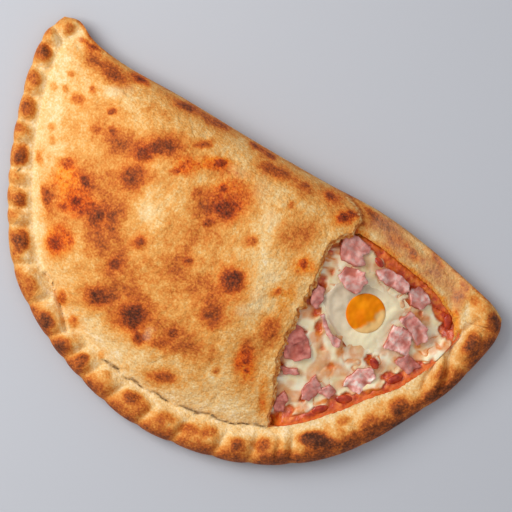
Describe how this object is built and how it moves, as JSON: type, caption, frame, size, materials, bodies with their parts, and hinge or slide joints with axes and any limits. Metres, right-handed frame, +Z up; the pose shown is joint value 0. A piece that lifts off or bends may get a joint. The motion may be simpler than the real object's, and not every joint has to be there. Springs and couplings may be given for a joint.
{
  "type": "calzone",
  "caption": "Folded half-moon pizza bread with a crimped rim, torn open at one tip over tomato sauce, melted cheese, ham dice and a baked egg.",
  "frame": {"origin": "centre of the bounding box on the flat underside", "axes": "+X along the straight fold from the closed tip to the torn-open tip, +Y from the crimped curved rim to the fold, +Z up"},
  "size_m": [0.3196, 0.1839, 0.0466],
  "materials": {
    "baked_dough": "matt baked crust, pale cream to golden with brown and scorched blisters",
    "tomato_sauce": "wet, oily, lumpy",
    "melted_mozzarella": "soft sheen, pale cream stained orange",
    "egg_white": "set, satin, slightly translucent",
    "egg_yolk": "soft, satin",
    "cooked_ham": "moist, satin",
    "cooked_tomato": "wet"
  },
  "bodies": {
    "root": {"crust": "baked_dough", "tomato_sauce": "tomato_sauce", "mozzarella": "melted_mozzarella", "egg_white": "egg_white", "egg_yolk": "egg_yolk", "ham_01": "cooked_ham", "ham_02": "cooked_ham", "ham_03": "cooked_ham", "ham_04": "cooked_ham", "ham_05": "cooked_ham", "ham_06": "cooked_ham", "ham_07": "cooked_ham", "ham_08": "cooked_ham", "ham_09": "cooked_ham", "ham_10": "cooked_ham", "ham_11": "cooked_ham", "ham_12": "cooked_ham", "ham_13": "cooked_ham", "ham_14": "cooked_ham", "ham_15": "cooked_ham", "tomato_01": "cooked_tomato", "tomato_02": "cooked_tomato", "tomato_03": "cooked_tomato", "tomato_04": "cooked_tomato", "tomato_05": "cooked_tomato", "tomato_06": "cooked_tomato"}
  },
  "joints": []
}
